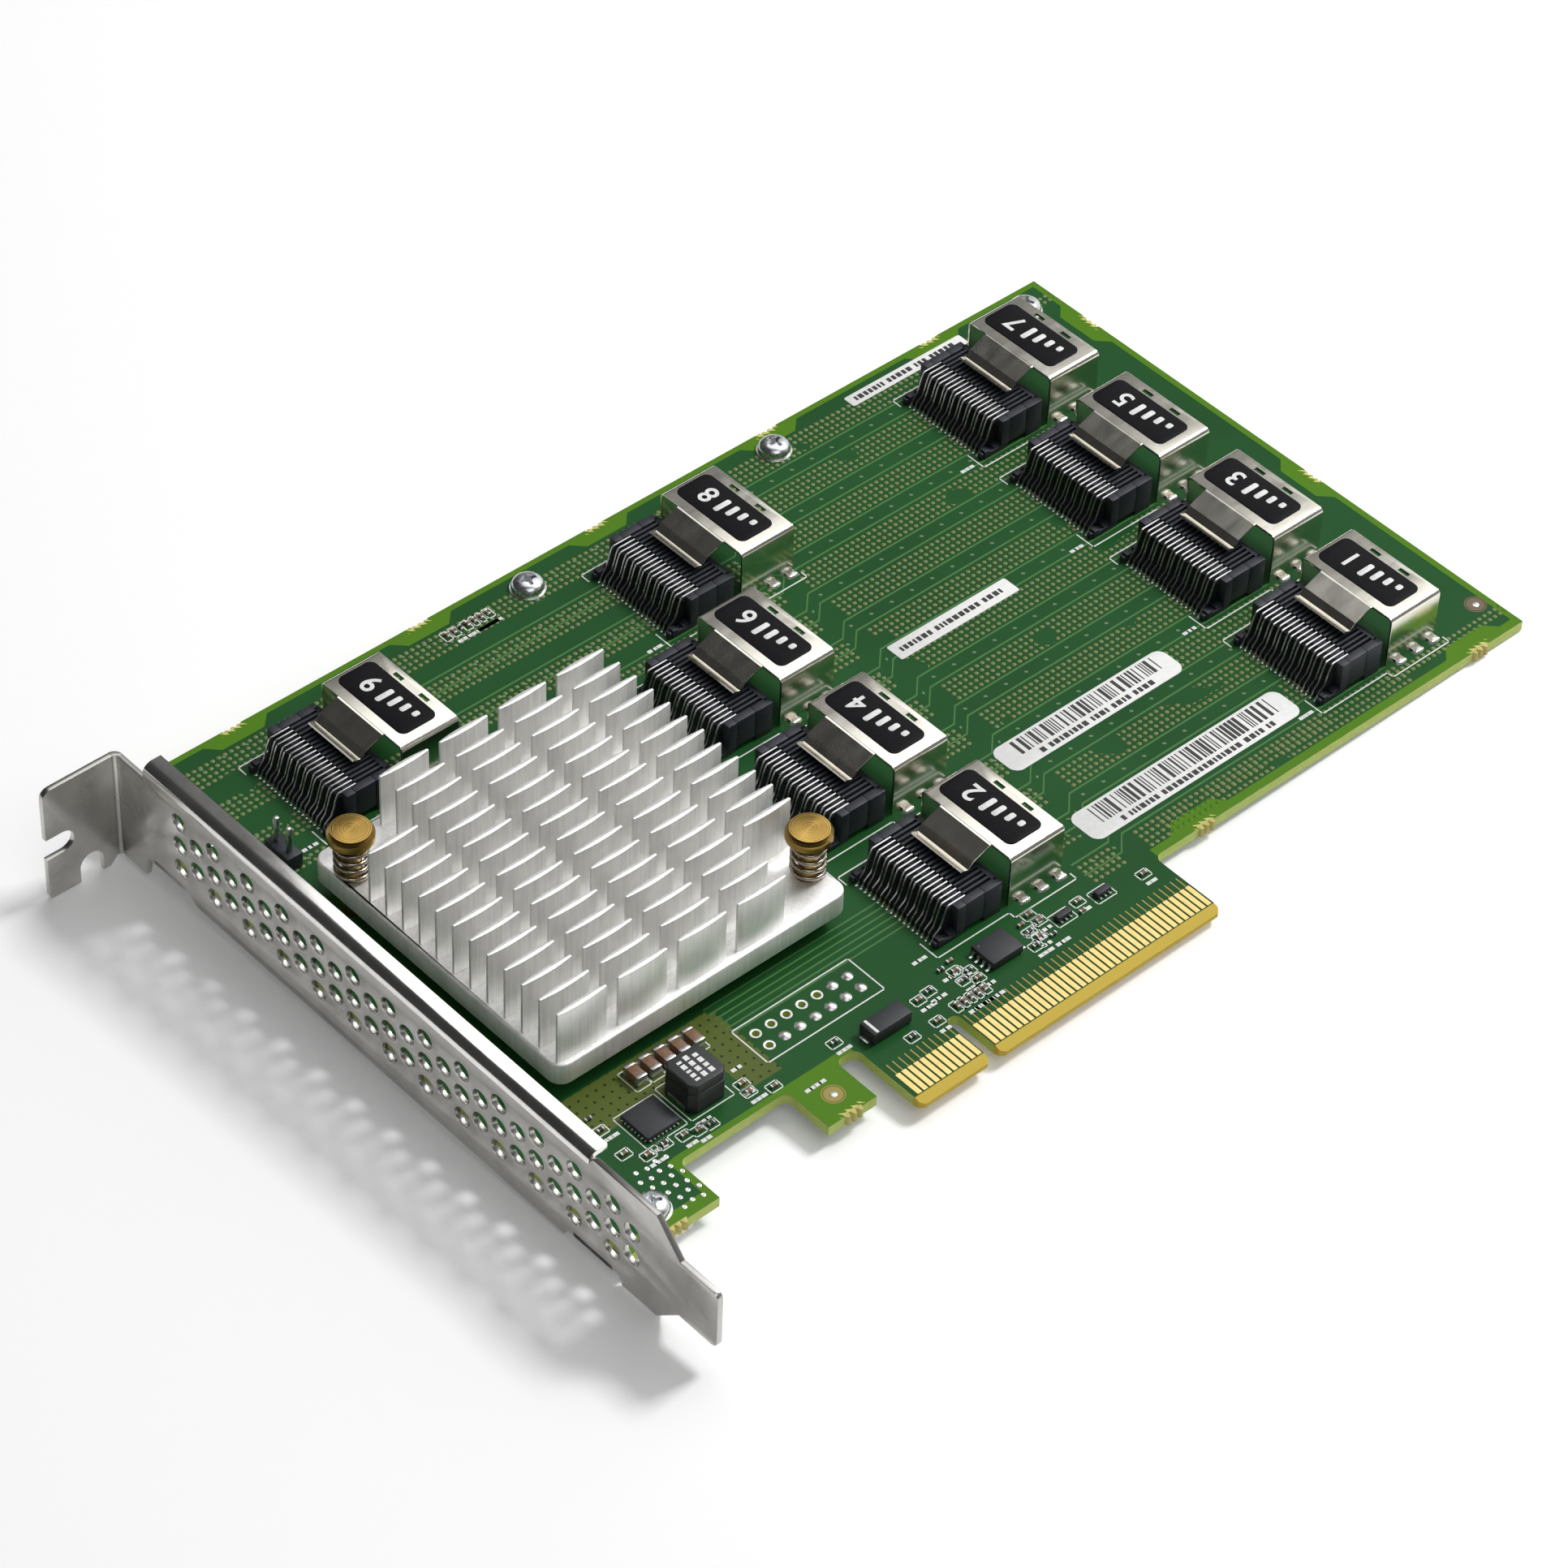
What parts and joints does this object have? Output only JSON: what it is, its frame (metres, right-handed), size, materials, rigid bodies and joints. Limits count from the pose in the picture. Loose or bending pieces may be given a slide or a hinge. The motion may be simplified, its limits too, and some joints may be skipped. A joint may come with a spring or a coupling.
{
  "type": "raid controller card",
  "caption": "Full-height storage card with an edge connector, a perforated bracket, a finned heat sink on sprung pins and rows of caged internal cable ports.",
  "frame": {"origin": "middle of the key notch, at the free end of the edge connector, on the component face of the board", "axes": "+X from the bracket to the far end, +Y from the edge connector to the top edge, +Z off the component face"},
  "size_m": [0.1771, 0.1195, 0.0213],
  "materials": {
    "board": "dark green solder mask over glass-epoxy laminate",
    "gold_plate": "pale gold plating",
    "bracket_steel": "satin nickel-plated steel",
    "zinc_plate": "bright zinc plating",
    "chip_mould": "matt moulding compound",
    "pad": "soft grey pad",
    "sink_aluminium": "satin, as forged",
    "brass": "turned",
    "spring_steel": "bright drawn wire",
    "port_mould": "slate-black glass-filled nylon",
    "contact_tin": "tin-plated copper alloy",
    "cage_nickel": "nickel-plated sheet steel",
    "sticker_film": "black polyester film",
    "ceramic": "fired ceramic with tinned ends",
    "label_paper": "white coated paper"
  },
  "bodies": {
    "root": {"circuit_board": "board", "edge_contacts": "gold_plate", "bracket": "bracket_steel", "bracket_screws": "zinc_plate", "board_edge_screws": "zinc_plate", "board_edge_nuts": "zinc_plate", "expander_chip": "chip_mould", "thermal_pad": "pad", "heat_sink": "sink_aluminium", "push_pin_1": "brass", "push_pin_2": "brass", "pin_spring_1": "spring_steel", "pin_spring_2": "spring_steel", "power_inductor": "chip_mould", "power_controller": "chip_mould", "ceramic_capacitors": "ceramic", "memory_chip": "chip_mould", "diode": "chip_mould", "logic_chips": "chip_mould", "jumper_header": "port_mould", "chip_passives": "ceramic", "paper_labels": "label_paper", "port_1_housing": "port_mould", "port_1_contacts": "contact_tin", "port_1_cage": "cage_nickel", "port_1_sticker": "sticker_film", "port_2_housing": "port_mould", "port_2_contacts": "contact_tin", "port_2_cage": "cage_nickel", "port_2_sticker": "sticker_film", "port_3_housing": "port_mould", "port_3_contacts": "contact_tin", "port_3_cage": "cage_nickel", "port_3_sticker": "sticker_film", "port_4_housing": "port_mould", "port_4_contacts": "contact_tin", "port_4_cage": "cage_nickel", "port_4_sticker": "sticker_film", "port_5_housing": "port_mould", "port_5_contacts": "contact_tin", "port_5_cage": "cage_nickel", "port_5_sticker": "sticker_film", "port_6_housing": "port_mould", "port_6_contacts": "contact_tin", "port_6_cage": "cage_nickel", "port_6_sticker": "sticker_film", "port_7_housing": "port_mould", "port_7_contacts": "contact_tin", "port_7_cage": "cage_nickel", "port_7_sticker": "sticker_film", "port_8_housing": "port_mould", "port_8_contacts": "contact_tin", "port_8_cage": "cage_nickel", "port_8_sticker": "sticker_film", "port_9_housing": "port_mould", "port_9_contacts": "contact_tin", "port_9_cage": "cage_nickel", "port_9_sticker": "sticker_film"}
  },
  "joints": []
}
